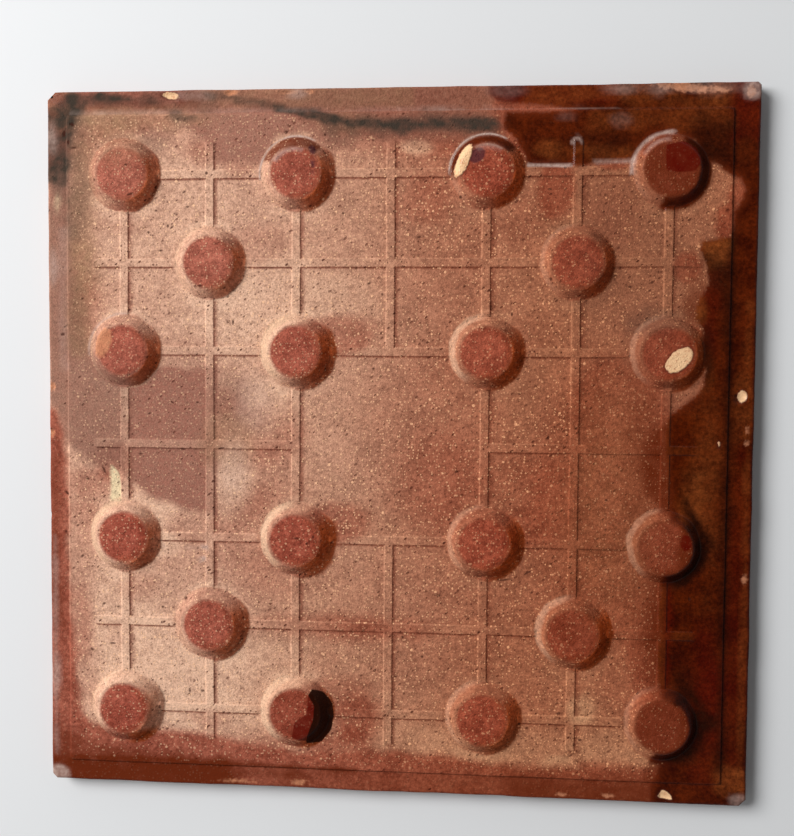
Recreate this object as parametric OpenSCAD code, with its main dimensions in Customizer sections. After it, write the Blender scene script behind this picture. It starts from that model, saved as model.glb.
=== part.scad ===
// Studded floor tile of pressed red clay, lying on its glazed face, laying side up.
// One fired piece: slab, rim step, rib lattice and studs are one solid.
// Units are millimetres, +Z points out of the studded laying side.

/* [Slab] */

// side of the square tile
tile_side = 200; // [150:1:300]
// glazed face to the flat field of the laying side
body_height = 6; // [4:0.5:14]
// length cut off each side at the four corners
corner_clip = 2; // [0.5:0.1:5]
// radius of the arris round the glazed face
face_round = 1.2; // [0.4:0.1:2.5]
// bevel along the upper edge of the rim
rim_bevel = 0.5; // [0.2:0.1:1]

/* [Rim] */

// width of the lower band round the laying side
rim_width = 6.1; // [3:0.1:12]
// how far the band lies below the field
rim_drop = 0.7; // [0.3:0.1:2]
// width taken by the slope between band and field
rim_slope = 0.5; // [0.1:0.1:1.5]

/* [Studs] */

// diameter of a stud where it meets the field
stud_base = 20.4; // [12:0.1:24]
// how far the wall leans in from foot to top
stud_lean = 2.5; // [0.8:0.1:4]
// height of a stud above the field
stud_height = 3; // [1:0.1:5]
// radius of the rounded top edge
stud_round = 1.2; // [0.3:0.1:2]

/* [Rib lattice] */

// width of a rib at the field
rib_width = 3; // [1.5:0.1:4]
// height of a rib above the field
rib_height = 0.45; // [0.2:0.05:1]
// width taken by the slope of a rib side
rib_slope = 0.35; // [0.1:0.05:0.7]
// centre of the outermost rib lines to the edge of the field
lattice_inset = 16.8; // [13:0.1:30]
// how much wider the two middle cells are than the others
centre_extra = 1.8; // [0:0.1:6]
// end of the long ribs to the edge of the field
rib_end_gap = 7.6; // [1:0.1:12]

/* [Hidden] */

// faces that meet on a common plane are let in by this much
bed = 0.4;
// facets of a full circle
facets = 96;

half_side = tile_side / 2;
rim_level = body_height - rim_drop;
field_foot = half_side - rim_width;
field_top = field_foot - rim_slope;

// three cells lie between the middle and the outermost line
outer_line = field_top - lattice_inset;
cell = (outer_line - centre_extra) / 3;
inner_line = cell + centre_extra;
middle_line = inner_line + cell;
long_reach = field_top - rib_end_gap;

// the seven rib lines, the same across and along
lines = [-outer_line, -middle_line, -inner_line, 0, inner_line, middle_line, outer_line];
last_line = len(lines) - 1;
centre_line = last_line / 2;

// odd lines in the tile's own count stand at even places of the list
function is_stud_line(i) = i % 2 == 0;
function is_long_line(i) = i % 2 == 1;
function is_inner_post(i) = i == 1 || i == last_line - 1;
function has_stud(i, j) = (is_stud_line(i) && is_stud_line(j)) || (is_inner_post(i) && is_inner_post(j));

// slope of a stud's wall against the field, and the arc along its top edge
wall_angle = atan2(stud_height, stud_lean);
round_back = stud_round * tan(wall_angle / 2);
round_x = stud_base / 2 - stud_lean - round_back;
round_z = stud_height - stud_round;

// side elevation of the slab, seen along an edge
module slab_elevation() {
    difference() {
        translate([-half_side, 0])
            square([tile_side, rim_level]);
        for (s = [-1, 1]) {
            // round the arris of the glazed face
            difference() {
                translate([s * half_side - face_round, -face_round])
                    square([2 * face_round, 2 * face_round]);
                translate([s * (half_side - face_round), face_round])
                    circle(r = face_round, $fn = facets);
            }
            // bevel the upper edge of the rim
            polygon([
                [s * half_side, rim_level - rim_bevel],
                [s * (half_side - rim_bevel), rim_level],
                [s * (half_side + rim_bevel), rim_level + rim_bevel]
            ]);
        }
    }
}

// square plan with its corners cut
module slab_plan() {
    clip = half_side - corner_clip;
    polygon([
        [-clip, -half_side], [clip, -half_side],
        [half_side, -clip], [half_side, clip],
        [clip, half_side], [-clip, half_side],
        [-half_side, clip], [-half_side, -clip]
    ]);
}

// extrudes an elevation along Y, centred on the tile
module along_y(length) {
    translate([0, length / 2, 0])
        rotate([90, 0, 0])
            linear_extrude(height = length)
                children();
}

module slab() {
    intersection() {
        linear_extrude(height = body_height)
            slab_plan();
        along_y(tile_side + 2 * corner_clip)
            slab_elevation();
        rotate([0, 0, 90])
            along_y(tile_side + 2 * corner_clip)
                slab_elevation();
    }
}

// elevation of the raised field with its sloped border
module field_elevation() {
    polygon([
        [-field_foot, rim_level - bed], [field_foot, rim_level - bed],
        [field_foot, rim_level], [field_top, body_height],
        [-field_top, body_height], [-field_foot, rim_level]
    ]);
}

module field() {
    intersection() {
        along_y(2 * field_foot)
            field_elevation();
        rotate([0, 0, 90])
            along_y(2 * field_foot)
                field_elevation();
    }
}

// elevation of a rib of a given length or width, its ends sloped
module rib_elevation(span) {
    top = body_height + rib_height;
    polygon([
        [-span / 2, body_height - bed], [span / 2, body_height - bed],
        [span / 2, body_height], [span / 2 - rib_slope, top],
        [-span / 2 + rib_slope, top], [-span / 2, body_height]
    ]);
}

// one rib along Y on the line x, from y = start to y = stop
module rib(x, start, stop) {
    length = stop - start;
    translate([x, (start + stop) / 2, 0])
        intersection() {
            along_y(length)
                rib_elevation(rib_width);
            rotate([0, 0, 90])
                along_y(rib_width)
                    rib_elevation(length);
        }
}

// the seven lines that run along Y; the middle one leaves the centre square free
module rib_set() {
    for (i = [0 : last_line]) {
        reach = is_long_line(i) ? long_reach : outer_line;
        if (i == centre_line) {
            rib(lines[i], -reach, -inner_line);
            rib(lines[i], inner_line, reach);
        } else {
            rib(lines[i], -reach, reach);
        }
    }
}

// half section of a stud, turned about its own axis
module stud_section() {
    union() {
        polygon([
            [0, -bed], [stud_base / 2, -bed], [stud_base / 2, 0],
            [round_x + stud_round * sin(wall_angle), round_z + stud_round * cos(wall_angle)],
            [round_x, round_z], [round_x, stud_height], [0, stud_height]
        ]);
        intersection() {
            translate([round_x, round_z])
                circle(r = stud_round, $fn = facets);
            polygon([
                [round_x, round_z],
                [round_x + stud_round * sin(wall_angle), round_z + stud_round * cos(wall_angle)],
                [round_x + round_back, stud_height],
                [round_x, stud_height]
            ]);
        }
    }
}

module stud() {
    rotate_extrude($fn = facets)
        stud_section();
}

module studs() {
    for (i = [0 : last_line], j = [0 : last_line]) {
        if (has_stud(i, j)) {
            translate([lines[i], lines[j], body_height])
                stud();
        }
    }
}

// the whole tile, one fired piece
module tile() {
    color([0.62, 0.36, 0.25])
        union() {
            slab();
            field();
            rib_set();
            rotate([0, 0, 90])
                rib_set();
            studs();
        }
}

tile();
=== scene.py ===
import math
from itertools import groupby

import bpy
import numpy as np
from mathutils import Matrix, Vector
from mathutils.geometry import delaunay_2d_cdt


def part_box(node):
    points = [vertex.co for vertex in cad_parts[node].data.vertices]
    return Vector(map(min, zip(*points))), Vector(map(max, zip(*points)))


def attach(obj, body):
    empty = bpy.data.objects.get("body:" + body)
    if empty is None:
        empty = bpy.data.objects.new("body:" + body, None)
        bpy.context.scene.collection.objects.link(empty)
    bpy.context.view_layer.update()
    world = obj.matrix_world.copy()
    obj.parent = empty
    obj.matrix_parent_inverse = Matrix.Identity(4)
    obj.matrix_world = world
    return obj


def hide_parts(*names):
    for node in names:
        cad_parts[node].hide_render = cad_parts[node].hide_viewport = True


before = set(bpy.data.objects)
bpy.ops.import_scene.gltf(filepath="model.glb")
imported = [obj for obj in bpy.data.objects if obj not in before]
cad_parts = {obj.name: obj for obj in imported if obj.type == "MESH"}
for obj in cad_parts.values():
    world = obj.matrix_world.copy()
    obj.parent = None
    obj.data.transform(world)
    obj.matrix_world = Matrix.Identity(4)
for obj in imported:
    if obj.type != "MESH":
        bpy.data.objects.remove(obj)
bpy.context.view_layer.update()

# ---- Sizes, in millimetres. The outer ones come from the frame ----

MM = 0.001
tile_low, tile_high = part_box("tile")
HALF = (tile_high.x - tile_low.x) / MM / 2
STUD_HEIGHT = 3.0
RIM_DROP = 0.7
FIELD = tile_high.z / MM - STUD_HEIGHT
RIM = FIELD - RIM_DROP

RIM_WIDTH = 6.1
STEP_RUN = 0.5
FIELD_HALF = HALF - RIM_WIDTH
FIELD_CORNER = 1.0
FACE_ROUND = 1.2

# radius of a stud's foot, how far its wall leans in, how round its edge is, how far out it is looked for
STUD_FOOT = 10.2
STUD_LEAN = 2.5
STUD_ROUND = 0.9
STUD_REACH = 14.0

# the lattice: how far its outer lines lie in from the step, how much wider the cells are beside the
# middle lines, and the gap between the ends of the long ribs and the step
RIB_WIDTH = 3.0
RIB_HEIGHT = 0.45
RIB_SLOPE = 0.55
LATTICE_INSET = 16.8
CENTRE_EXTRA = 1.8
RIB_END_GAP = 7.6
OUTER_LINE = FIELD_HALF - STEP_RUN - LATTICE_INSET
CELL = (OUTER_LINE - CENTRE_EXTRA) / 3
LINES = [-OUTER_LINE, -OUTER_LINE + CELL, -OUTER_LINE + 2 * CELL, 0,
         OUTER_LINE - 2 * CELL, OUTER_LINE - CELL, OUTER_LINE]
LONG_REACH = FIELD_HALF - STEP_RUN - RIB_END_GAP

# the press die sat a little off the middle of this tile
DIE_SHIFT = (-0.6, -0.5)

# how much of each corner is gone: its signs along x and y, and the cut
CORNERS = {(-1, 1): 2.3, (1, 1): 0.8, (1, -1): 1.8, (-1, -1): 1.3}

# wear of the outer edge, depth of its chips, and the step over which slopes are taken
EDGE_WEAR = 0.8
CHIP_DEPTH = 0.45
NORMAL_STEP = 0.04


# ---- Smooth shapes and noise over the plan, as arrays ----

# rows and columns of a table of noise
NOISE_TABLE = 97


def heading(degrees):
    """Cosine and sine of an angle."""
    return math.cos(math.radians(degrees)), math.sin(math.radians(degrees))


def smooth(edge0, edge1, x):
    """0 at the first edge, 1 at the second, and smooth in between."""
    t = np.clip((x - edge0) / (edge1 - edge0), 0, 1)
    return t * t * (3 - 2 * t)


def noise(x, y, size, seed):
    """Value noise from -1 to 1 with bumps about as wide as size."""
    table = np.random.default_rng(seed).uniform(-1, 1, (NOISE_TABLE, NOISE_TABLE))
    u, v = x / size + 31.7, y / size + 47.3
    i, j = np.floor(u).astype(int), np.floor(v).astype(int)
    f, g = u - i, v - j
    f, g = f * f * (3 - 2 * f), g * g * (3 - 2 * g)
    i, j, i2, j2 = [k % NOISE_TABLE for k in (i, j, i + 1, j + 1)]
    a = table[i, j] * (1 - f) + table[i2, j] * f
    b = table[i, j2] * (1 - f) + table[i2, j2] * f
    return a * (1 - g) + b * g


def cloud(x, y, size, seed, layers=3):
    """Several layers of noise, each half as wide and half as strong."""
    total = 0
    for k in range(layers):
        total = total + noise(x, y, size / 2 ** k, seed + k) / 2 ** k
    return total / (2 - 2 / 2 ** layers)


def oval(cx, cy, a, b, turn=0):
    """How far in from the border of an oval a place is; negative outside."""
    c, s = heading(turn)

    def inside(x, y):
        u = (x - cx) * c + (y - cy) * s
        v = (y - cy) * c - (x - cx) * s
        return (1 - np.hypot(u / a, v / b)) * min(a, b)
    return inside


def segment_distance(x, y, start, stop):
    """Distance from the straight line between two points."""
    ax, ay = start
    bx, by = stop[0] - ax, stop[1] - ay
    t = np.clip(((x - ax) * bx + (y - ay) * by) / (bx * bx + by * by), 0, 1)
    return np.hypot(x - ax - t * bx, y - ay - t * by)


def area(*corners):
    """How far in from the border of a many-sided area a place is; negative outside."""
    def inside(x, y):
        distance = np.full_like(x, np.inf)
        within = np.zeros(x.shape, bool)
        for (x0, y0), (x1, y1) in zip(corners, corners[1:] + corners[:1]):
            distance = np.minimum(distance, segment_distance(x, y, (x0, y0), (x1, y1)))
            if y0 != y1:
                within ^= ((y0 > y) != (y1 > y)) & (x < (x1 - x0) * (y - y0) / (y1 - y0) + x0)
        return np.where(within, distance, -distance)
    return inside


def box(left, right, bottom, top):
    """How far in from the border of an upright rectangle a place is; negative outside."""
    return area((left, top), (right, top), (right, bottom), (left, bottom))


def stroke(width, *points):
    """How far in from the sides of a line of some width a place is; negative outside."""
    def inside(x, y):
        distance = np.full_like(x, np.inf)
        for start, stop in zip(points, points[1:]):
            distance = np.minimum(distance, segment_distance(x, y, start, stop))
        return width / 2 - distance
    return inside


# ---- Relief of the laying side ----

def stud_places():
    """Studs where every second line crosses, row by row, then one further in near each corner."""
    lines = (0, 2, 4, 6)
    places = [(i, j) for j in reversed(lines) for i in lines]
    places += [(1, 5), (5, 5), (1, 1), (5, 1)]
    return [(LINES[i], LINES[j]) for i, j in places]


STUDS = stud_places()

# small pieces broken off the edge: those that show pale clay, those that show ochre, and one more
PALE_CHIPS = [
    oval(-63.8, 98.5, 2.6, 1, -6), oval(96.6, 14.6, 1.3, 1.8),
    area((75.4, -98.3), (76.3, -97.5), (76.9, -96.2), (78.1, -96.5), (79.4, -97.7), (79.9, -98.8),
         (77, -98.7)),
]
OCHRE_CHIPS = [
    oval(-46.3, 99.1, 1.8, 0.7), oval(-30, 98.9, 2.4, 0.5), oval(80.5, 98.7, 7.5, 1.1, -5),
    oval(-99.2, 15.6, 1, 1.2), oval(-99.3, 2.2, 0.9, 1),
]
CHIPS = PALE_CHIPS + OCHRE_CHIPS + [oval(-99.5, -22, 0.9, 1)]


def rib_places():
    """(line, start, stop) of each rib; the middle line leaves the centre square free."""
    ribs = []
    for k, line in enumerate(LINES):
        reach = LONG_REACH if k % 2 else OUTER_LINE
        if line == 0:
            ribs += [(line, -reach, LINES[2]), (line, LINES[4], reach)]
        else:
            ribs.append((line, -reach, reach))
    return ribs


def edge_distance(x, y):
    """Distance in from the nominal outline with its clipped corners."""
    d = np.minimum(HALF - np.abs(x), HALF - np.abs(y))
    for (sx, sy), cut in CORNERS.items():
        d = np.minimum(d, (2 * HALF - cut - sx * x - sy * y) / math.sqrt(2))
    return d


def field_distance(x, y):
    """Distance in from the edge of the field, a square with rounded corners."""
    qx, qy = np.abs(x) - FIELD_HALF + FIELD_CORNER, np.abs(y) - FIELD_HALF + FIELD_CORNER
    outside = np.hypot(np.maximum(qx, 0), np.maximum(qy, 0))
    return FIELD_CORNER - outside - np.minimum(np.maximum(qx, qy), 0)


def rib_height(x, y):
    """Height of the lattice above the field."""
    height = np.zeros_like(x)
    for line, start, stop in rib_places():
        for across, along in ((x, y), (y, x)):
            side = RIB_WIDTH / 2 - np.abs(across - line)
            end = (stop - start) / 2 - np.abs(along - (start + stop) / 2)
            height = np.maximum(height, smooth(0, RIB_SLOPE, np.minimum(side, end)))
    worn = 0.85 + 0.3 * cloud(x, y, 14, 11)
    return height * RIB_HEIGHT * np.clip(worn, 0.5, 1.1)


def stud_height(x, y):
    """Height of the studs above the field: a leaning wall and a flat top, joined by soft edges."""
    height = np.zeros_like(x)
    top_edge, foot_edge = STUD_ROUND / STUD_LEAN * 0.35, 0.06
    for k, (sx, sy) in enumerate(STUDS):
        dx, dy = x - sx, y - sy
        r, turn = np.hypot(dx, dy), np.arctan2(dy, dx)
        near = r < STUD_REACH
        uneven = 0.12 * np.sin(2 * turn + k * 1.7) + 0.08 * np.sin(5 * turn + k * 2.9)
        r = r + uneven * smooth(2, 8, r)
        wall = (STUD_FOOT - r) / STUD_LEAN
        top = 1 + 0.02 * smooth(7, 0, r)
        h = 0.5 * (wall + top - np.sqrt((wall - top) ** 2 + top_edge ** 2))
        h = 0.5 * (h + np.sqrt(h * h + foot_edge ** 2)) - foot_edge * 0.05
        height = np.where(near, np.maximum(height, h * STUD_HEIGHT), height)
    return height


def relief(x, y):
    """Height of the laying side at a place in the plan."""
    raised = np.maximum(stud_height(x, y), rib_height(x, y))
    step = smooth(0, STEP_RUN + 0.25, field_distance(x, y))
    rough = 0.05 * cloud(x, y, 30, 21) + 0.02 * cloud(x, y, 5, 25)
    z = RIM + (FIELD - RIM) * step + raised * step + rough
    # the outer edge is worn round
    wear = EDGE_WEAR + 0.35 * cloud(x, y, 7, 31)
    t = np.clip(1 - np.maximum(edge_distance(x, y), 0.0) / wear, 0, 0.995)
    z = z - 0.75 * wear * (1 - np.sqrt(1 - t * t))
    ragged = 0.25 * cloud(x, y, 1.5, 91)
    for chip in CHIPS:
        z = z - CHIP_DEPTH * smooth(-0.2, 0.7, chip(x, y) + ragged)
    return z


def place(x, y):
    """Moves a place in the plan to where this tile has it: the die's shift, and wavy edges."""
    inner = smooth(1.0, 5.0, edge_distance(x, y))
    wx = DIE_SHIFT[0] * inner + 0.10 * cloud(x, y, 9, 41) * inner
    wy = DIE_SHIFT[1] * inner + 0.10 * cloud(x, y, 9, 51) * inner
    wave = 0.16 * cloud(x, y, 12, 61) * (1 - inner)
    nx = np.where(np.abs(x) > np.abs(y), np.sign(x), 0)
    ny = np.where(np.abs(x) > np.abs(y), 0, np.sign(y))
    return x + wx + nx * wave, y + wy + ny * wave


def surface(x, y):
    """The points of the laying side over places in the plan."""
    px, py = place(x, y)
    return np.stack([px, py, relief(x, y)], 1)


def surface_normals(x, y):
    """Points of the laying side over the plan, with their normals."""
    along_x = surface(x + NORMAL_STEP, y) - surface(x - NORMAL_STEP, y)
    along_y = surface(x, y + NORMAL_STEP) - surface(x, y - NORMAL_STEP)
    normal = np.cross(along_x, along_y)
    return surface(x, y), normal / np.linalg.norm(normal, axis=1)[:, None]


def shifted(stud):
    """Where a stud's axis is on this tile."""
    return STUDS[stud][0] + DIE_SHIFT[0], STUDS[stud][1] + DIE_SHIFT[1]


def arc(stud, inner, outer, start, stop):
    """How far in from the border of a piece of a ring round a stud a place is."""
    sx, sy = shifted(stud)
    middle, half = math.radians((start + stop) / 2), math.radians((stop - start) / 2)

    def inside(x, y):
        dx, dy = x - sx, y - sy
        r = np.hypot(dx, dy)
        turn = np.abs((np.arctan2(dy, dx) - middle + math.pi) % (2 * math.pi) - math.pi)
        return np.minimum(np.minimum(r - inner, outer - r), (half - turn) * r)
    return inside


def beside(stud, dx, dy, a, b, turn=0):
    """An oval placed from a stud's axis."""
    sx, sy = shifted(stud)
    return oval(sx + dx, sy + dy, a, b, turn)


# ---- Stains of the firing on the laying side ----

# Studs are numbered row by row from the top left; the four set further in come last.
# For each: cream on the side towards the lamp, partly painted light; comet's tail in the wash behind it;
# reach of the crescent of painted shade behind it; wash left on its top; thin glaze on its top.
STUD_LOOKS = [
    (0.05, 0, 10.8, 0.12, 0), (0.32, 0, 11.2, 0.04, 0), (0.2, 0.1, 10.5, 0, 0),
    (0.15, 0, 10.8, 0, 0.7), (0.22, 0, 10.8, 0.05, 0), (1, 1, 11.5, 0.03, 0),
    (0.6, 0.25, 11, 0.02, 0), (0.25, 0.1, 11, 0, 0.22), (0.75, 0, 10.7, 0, 0),
    (0.85, 1, 11.8, 0, 0), (0.3, 0.8, 11.4, 0, 0), (0.35, 0, 11, 0, 0.4),
    (0.35, 0, 11.5, 0, 0), (0.75, 0.8, 11.2, 0, 0.22), (0.28, 0.2, 11.1, 0, 0),
    (0.2, 0, 11, 0, 0.62), (0.35, 0.45, 10.4, 0.1, 0), (0.22, 0.05, 10.4, 0, 0),
    (0.16, 0, 11.5, 0.03, 0), (0.45, 0.2, 11.2, 0, 0.28),
]

# how much of the wash some studs kept on the side of the wall that faced away from it
LEE_FILM = {0: 0.5, 1: 0.15, 5: 0.1, 8: 0.3, 12: 0.65, 14: 0.5, 16: 0.42, 17: 0.25, 18: 0.35}

# how much of it some studs kept on their upper right, and where that is, in degrees
UPPER_SIDE = 65
UPPER_FILM = {1: 0.6, 4: 1, 6: 0.3, 9: 0.2, 12: 0.8, 17: 0.4, 18: 0.8}

# where the wash and the painted light come from, in degrees, and the width of the painted shadow behind a
# rib, in millimetres
WASH_AND_LIGHT_FROM = 150
RIB_SHADOW = 0.8

# where the pale wash lies at all
WASHED = area(
    (-101, 76), (-101, 11), (-98, 9), (-95.3, 2), (-94.3, -15), (-94.1, -30), (-93.5, -45),
    (-92.8, -60), (-91.3, -72), (-90.5, -80), (-87, -83), (-75, -83.6), (-60, -84.2), (-50, -85.4),
    (-40, -87), (-25, -88.5), (-12, -88.5), (-5, -87.5), (3, -87.5), (17, -89), (30, -90.5),
    (41, -91.2), (60, -90.6), (76, -90), (77, -87), (77, -68), (77, -38), (77, -36), (80, -22),
    (75, -17), (71, -12), (69, -5), (70, 1), (75, 7), (82, 10), (86, 17), (87, 22), (88, 45), (93, 50),
    (94, 72), (90, 79), (66, 79), (50, 78), (36, 79), (30, 86), (20, 86), (0, 86), (-15, 87.5),
    (-33, 93.5), (-62, 93.6), (-92, 94), (-94, 80))

# thicker or thinner wash: shape, width of its border, change
WASH_CHANGES = [
    (oval(-62, -62, 36, 28), 34, 0.32), (oval(-38, 40, 20, 14), 16, 0.24),
    (oval(-66, 66, 22, 18), 16, 0.08), (oval(-36, -26, 16, 20), 14, -0.16),
    (oval(22, -86, 34, 6), 7, 0.14), (oval(64, -86, 12, 7), 6, 0.14), (oval(-45, -9, 5, 10), 6, 0.35),
    (oval(-36, 11, 6, 9), 6, 0.18),
    (area((-75.5, -11.5), (-70, -16), (-64, -19), (-52, -21), (-52, -27), (-66, -27), (-70, -18)),
        3, 0.25),
    (oval(-40, -18, 4, 9, -45), 6, -0.2), (oval(60, 64, 7, 9), 8, -0.1), (oval(36, 63, 7, 8), 8, -0.08),
    (oval(-66, -30, 5, 3), 3, 0.3),
    (stroke(8, (-93, 28), (-91, 60), (-89, 88), (-80, 91), (-66, 91)), 8, -0.26),
    (stroke(5, (-92, -86), (-64, -86.5), (-40, -87), (-8, -86)), 8, -0.34),
    (oval(-52, -40, 26, 12), 12, -0.2), (oval(64, -14, 22, 36), 26, -0.24),
    (oval(-88, 38, 5, 8), 5, -0.25), (stroke(7, (-90, -20), (-89, -75)), 6, -0.2),
    (oval(-13, -86, 20, 5), 6, -0.12), (oval(38, -15, 12, 12), 12, -0.1),
    (oval(0, -50, 44, 26), 30, -0.1), (oval(-13, 39, 10, 10), 8, 0.14), (oval(0, 85, 26, 4), 6, -0.18),
    (oval(13, -10, 12, 14), 14, -0.14), (oval(-88, 87, 8, 6), 6, -0.12),
    (oval(13, 80, 14, 8), 8, -0.1), (oval(13, 50, 14, 26), 20, -0.08),
    (oval(64, 12, 12, 12), 10, -0.12), (oval(-64, -39, 10, 12), 12, -0.08),
    (oval(-39, -65, 12, 14), 12, -0.08), (oval(-45, -86, 26, 4), 5, -0.12),
    (oval(-66, 88, 16, 6), 6, -0.14), (oval(-88, -14, 5, 8), 6, -0.12),
    (oval(-88, -65, 5, 12), 6, -0.1), (oval(80, -52, 10, 22), 12, -0.5),
    (oval(12, 0, 22, 26), 14, -0.1), (oval(64, -40, 10, 14), 12, -0.14),
    (oval(-53, -80, 8, 2.6), 2.5, -0.35),
    (oval(-20, -62, 5, 4), 5, -0.1), (oval(-94, -64, 2.5, 5), 2, -0.2), (oval(-88, -12, 9, 4), 3, -0.2),
    (oval(-49, 12, 5, 4), 4, -0.25), (oval(81, 50, 3.5, 4), 3, -0.4), (oval(8, 68, 8, 6), 6, -0.15),
    (oval(-30, -90, 5, 2.5), 2, 0.3), (oval(48, -90, 5, 2.5), 2, 0.35), (oval(-80, -56, 4, 4), 4, -0.2),
    (oval(-74, -42, 5, 4), 4, -0.2), (oval(-48, -3, 6, 6), 6, -0.12), (oval(-84, 43, 5, 5), 5, -0.1),
    (oval(-44, 78, 5, 3), 3, -0.25), (oval(45, 72, 4.5, 8), 4, -0.3), (oval(60, 78, 4, 2), 2, -0.3),
    (oval(94.5, 69, 2.5, 4), 2, -0.3), (oval(-10, -78, 7, 6), 6, -0.34), (oval(54, -74, 4, 4), 4, 0.35),
    (oval(-91, -53, 4, 11), 4, -0.3), (oval(-20, -52.5, 25, 4), 5, -0.3),
    (oval(-58, -24, 7, 4), 4, -0.4), (oval(-80, -6, 6, 6), 4, -0.35), (oval(-40, 2, 14, 9), 8, -0.3),
    (oval(-88, 50, 4, 8), 5, -0.1), (oval(91, 62, 2.5, 4), 2, -0.4), (oval(-54, 82, 5, 3.5), 4, -0.3),
    (oval(6, 83.5, 4.5, 2.2), 2, 0.5), (oval(58, -91, 18, 2.5), 2.5, -0.25),
    (oval(64, 12, 10, 12), 10, -0.16),
    (oval(66, -66, 7, 8), 6, -0.08), (oval(-77, 62.5, 9, 3), 4, -0.14),
]

# soft stains: shape, width of its border, strength
MAUVE = [
    (area((-76, -10.5), (-70, -15.5), (-64, -18), (-58, -19.5), (-50.8, -20.5), (-50.5, 21), (-76, 22)),
        2.5, 0.95),
    (area((-76, 20), (-50, 20), (-51, 30), (-76, 30)), 8, 0.35),
    (area((-61, 92.5), (-57, 88), (-52, 83.5), (-49.5, 79.5), (-37, 79.5), (-34, 86), (-20, 88.5),
        (0, 87), (24, 87), (30, 101), (-54, 101)), 2.2, 0.85),
    (box(-24, 28, 84.5, 93), 4, 0.75),
    (box(-101, -54, 94.5, 101), 2, 0.6),
    (area((-101, 11), (-97.5, 9), (-96.5, 3), (-94, -1), (-91, -3), (-87, -6), (-83, -8), (-80, -7),
        (-76.5, -10), (-76, 24), (-87, 26), (-89, 45), (-93, 60), (-94, 84), (-101, 90)), 3, 0.7),
    (oval(68, 45, 16, 30), 20, 0.35), (oval(60, 64, 6, 9), 8, 0.35), (oval(-46, 12, 5, 9), 6, 0.4),
    (beside(7, -6.5, 3, 6, 9), 4, 0.6), (oval(80, 15, 6, 5, 40), 3, 0.6),
    (beside(11, -7, 2, 4, 8), 4, 0.4),
]

OLIVE = [
    (oval(-70, 92, 22, 3.5), 3, 0.4), (oval(-88, 48, 5, 9), 5, 0.35), (oval(-47, 1, 8, 8), 6, 0.35),
    (box(-60, 6, 94.5, 101), 2.5, 0.35),
    (box(-101, -92, 88, 101), 3, 0.3), (oval(-14, 90, 10, 3), 4, 0.3),
    (oval(-84, 91, 10, 4.5), 5, 0.5), (stroke(7, (-91, 28), (-90, 60), (-89, 84)), 5, 0.5),
    (oval(-78, 84, 7, 6), 6, 0.3), (oval(86, 84, 6, 4), 4, 0.3), (oval(62, -18, 14, 34), 16, 0.2),
]

SMOKE = [
    (oval(-95.8, 75, 4, 8), 4, 0.5),
    (area((-101, 95), (-97, 96.5), (-92, 99), (-78, 99.5), (-70, 97.8), (-67, 96), (-78, 96.2),
        (-87, 95.8), (-91, 93), (-91.5, 85), (-92.5, 78), (-94.5, 73), (-101, 74)), 2.5, 0.75),
    (stroke(1.8, (-93, 98.3), (-85, 98.4), (-76, 97.6)), 1.8, 0.8), (oval(-94, 92, 3, 6), 3, 0.6),
    (stroke(6, (-91, 92), (-90, 76), (-91, 60)), 5, 0.35),
    (stroke(1.6, (-54, 98.8), (-47, 97.8), (-38, 96), (-26.6, 93.3)), 1.8, 0.6),
    (stroke(2.6, (-33, 94.6), (-20, 91.9), (-12, 90.4), (-4, 89.7), (6, 89.3)), 1.3, 0.88),
    (stroke(3.6, (2, 89.2), (14, 89.4), (28, 89.2)), 1.8, 0.85),
    (stroke(6, (-16, 90), (0, 89), (28, 88.6)), 4, 0.42),
    (stroke(2, (-62, 93), (-59.5, 91.5), (-57.5, 92.2)), 2, 0.6),
    (area((-101, 11), (-97.5, 9), (-94, -1), (-87, -6), (-83, -8), (-80, -7), (-76.5, -10), (-77, 15),
        (-90, 30), (-92, 60), (-101, 72)), 3, 0.2),
    (box(-30, 26, 94, 101), 2, 0.14), (oval(-46, 11, 5, 9), 6, 0.15),
    (oval(-69, 86, 4, 3), 3, 0.3), (box(-84, -50, 94.5, 99.5), 3, 0.28),
    (oval(-13, 85, 4, 3), 4, 0.25), (beside(7, -3, 9, 8, 4), 4, 0.25), (oval(64, 60, 24, 30), 24, 0.12),
]

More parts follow.
